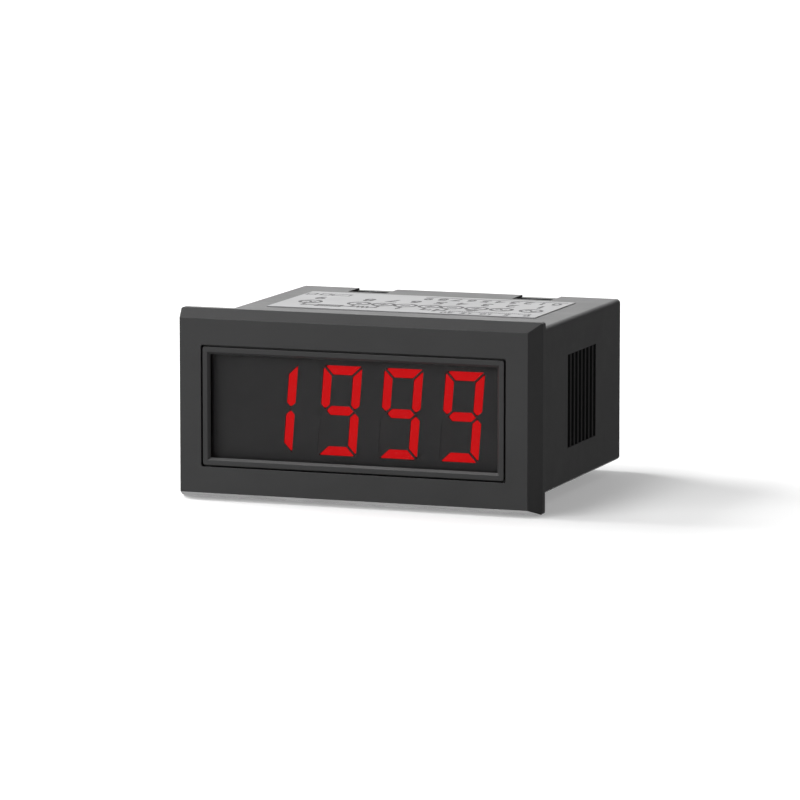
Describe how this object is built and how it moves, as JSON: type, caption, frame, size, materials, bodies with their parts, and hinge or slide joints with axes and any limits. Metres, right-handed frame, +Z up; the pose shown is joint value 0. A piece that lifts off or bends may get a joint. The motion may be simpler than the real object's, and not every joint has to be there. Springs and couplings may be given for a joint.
{
  "type": "digital panel meter",
  "caption": "Flush-mounting digital panel meter with a shallow bezel, a red segment display behind a smoked filter, vented sleeve and screw terminals at the rear.",
  "frame": {"origin": "middle of the panel cut-out, in the plane of the bezel's rear face", "axes": "+X to the right as the display is read, +Y to the rear through the panel, +Z up"},
  "size_m": [0.072, 0.0613, 0.036],
  "materials": {
    "case_plastic": "fine moulded texture",
    "smoked_filter": "polished smoked acrylic",
    "label_foil": "satin printed foil",
    "board_laminate": "green solder resist",
    "connector_plastic": "moulded",
    "tinned_pins": "tinned",
    "chip_epoxy": "moulded epoxy",
    "core_steel": "varnished laminations",
    "coil_tape": "winding tape",
    "capacitor_sleeve": "shrink sleeve",
    "film_epoxy": "dipped epoxy",
    "resistor_lacquer": "lacquered",
    "trimmer_body": "moulded",
    "rotor_plastic": "moulded",
    "block_plastic": "moulded",
    "cell_plastic": "painted reflector",
    "lit_bar": "lit diffuser",
    "dark_bar": "unlit diffuser",
    "contact_brass": "pressed",
    "plated_steel": "zinc plated"
  },
  "bodies": {
    "housing": {"case": "case_plastic", "front_frame": "case_plastic", "filter_window": "smoked_filter", "top_label": "label_foil", "rear_cover": "case_plastic", "display_board": "board_laminate", "digit_cell_1": "cell_plastic", "digit_cell_2": "cell_plastic", "digit_cell_3": "cell_plastic", "digit_cell_4": "cell_plastic", "lit_bars_1": "lit_bar", "lit_bars_2": "lit_bar", "lit_bars_3": "lit_bar", "lit_bars_4": "lit_bar", "dark_bars_1": "dark_bar", "dark_bars_2": "dark_bar", "dark_bars_3": "dark_bar", "dark_bars_4": "dark_bar", "main_board": "board_laminate", "terminal_board": "board_laminate", "front_connector": "connector_plastic", "rear_connector": "connector_plastic", "front_pins": "tinned_pins", "rear_pins": "tinned_pins", "converter_chip": "chip_epoxy", "chip_legs": "tinned_pins", "transformer_core": "core_steel", "transformer_coil": "coil_tape", "supply_capacitor_1": "capacitor_sleeve", "supply_capacitor_2": "capacitor_sleeve", "bridge_rectifier": "chip_epoxy", "film_capacitor": "film_epoxy", "resistors": "resistor_lacquer", "zero_trimmer": "trimmer_body", "span_trimmer": "trimmer_body", "terminal_block": "block_plastic", "contact_plate_1": "contact_brass", "contact_plate_2": "contact_brass", "contact_plate_3": "contact_brass", "contact_plate_4": "contact_brass", "contact_plate_5": "contact_brass", "contact_plate_6": "contact_brass"},
    "zero_rotor": {"zero_rotor": "rotor_plastic"},
    "span_rotor": {"span_rotor": "rotor_plastic"},
    "washer_1": {"clamp_washer_1": "plated_steel"},
    "screw_1": {"terminal_screw_1": "plated_steel"},
    "washer_2": {"clamp_washer_2": "plated_steel"},
    "screw_2": {"terminal_screw_2": "plated_steel"},
    "washer_3": {"clamp_washer_3": "plated_steel"},
    "screw_3": {"terminal_screw_3": "plated_steel"},
    "washer_4": {"clamp_washer_4": "plated_steel"},
    "screw_4": {"terminal_screw_4": "plated_steel"},
    "washer_5": {"clamp_washer_5": "plated_steel"},
    "screw_5": {"terminal_screw_5": "plated_steel"},
    "washer_6": {"clamp_washer_6": "plated_steel"},
    "screw_6": {"terminal_screw_6": "plated_steel"}
  },
  "joints": [
    {"name": "zero_adjust", "type": "hinge", "parent": "housing", "child": "zero_rotor", "pos_m": [-0.008, 0.048, 0.0066], "axis": [0, 1, 0], "range_deg": [-135, 135]},
    {"name": "span_adjust", "type": "hinge", "parent": "housing", "child": "span_rotor", "pos_m": [0.008, 0.048, 0.0066], "axis": [0, 1, 0], "range_deg": [-135, 135]},
    {"name": "clamp_travel_1", "type": "slide", "parent": "housing", "child": "washer_1", "axis": [0, 1, 0], "range_m": [0, 0.002]},
    {"name": "screw_turn_1", "type": "hinge", "parent": "washer_1", "child": "screw_1", "pos_m": [-0.02337, 0.0494, -0.004], "axis": [0, 1, 0], "range_deg": [0, 1440]},
    {"name": "clamp_travel_2", "type": "slide", "parent": "housing", "child": "washer_2", "axis": [0, 1, 0], "range_m": [0, 0.002]},
    {"name": "screw_turn_2", "type": "hinge", "parent": "washer_2", "child": "screw_2", "pos_m": [-0.01402, 0.0494, -0.004], "axis": [0, 1, 0], "range_deg": [0, 1440]},
    {"name": "clamp_travel_3", "type": "slide", "parent": "housing", "child": "washer_3", "axis": [0, 1, 0], "range_m": [0, 0.002]},
    {"name": "screw_turn_3", "type": "hinge", "parent": "washer_3", "child": "screw_3", "pos_m": [-0.00468, 0.0494, -0.004], "axis": [0, 1, 0], "range_deg": [0, 1440]},
    {"name": "clamp_travel_4", "type": "slide", "parent": "housing", "child": "washer_4", "axis": [0, 1, 0], "range_m": [0, 0.002]},
    {"name": "screw_turn_4", "type": "hinge", "parent": "washer_4", "child": "screw_4", "pos_m": [0.00468, 0.0494, -0.004], "axis": [0, 1, 0], "range_deg": [0, 1440]},
    {"name": "clamp_travel_5", "type": "slide", "parent": "housing", "child": "washer_5", "axis": [0, 1, 0], "range_m": [0, 0.002]},
    {"name": "screw_turn_5", "type": "hinge", "parent": "washer_5", "child": "screw_5", "pos_m": [0.01402, 0.0494, -0.004], "axis": [0, 1, 0], "range_deg": [0, 1440]},
    {"name": "clamp_travel_6", "type": "slide", "parent": "housing", "child": "washer_6", "axis": [0, 1, 0], "range_m": [0, 0.002]},
    {"name": "screw_turn_6", "type": "hinge", "parent": "washer_6", "child": "screw_6", "pos_m": [0.02337, 0.0494, -0.004], "axis": [0, 1, 0], "range_deg": [0, 1440]}
  ],
  "couplings": [
    {"joint": "screw_turn_1", "follows": "clamp_travel_1", "rad_per_m": 12566},
    {"joint": "screw_turn_2", "follows": "clamp_travel_2", "rad_per_m": 12566},
    {"joint": "screw_turn_3", "follows": "clamp_travel_3", "rad_per_m": 12566},
    {"joint": "screw_turn_4", "follows": "clamp_travel_4", "rad_per_m": 12566},
    {"joint": "screw_turn_5", "follows": "clamp_travel_5", "rad_per_m": 12566},
    {"joint": "screw_turn_6", "follows": "clamp_travel_6", "rad_per_m": 12566}
  ]
}
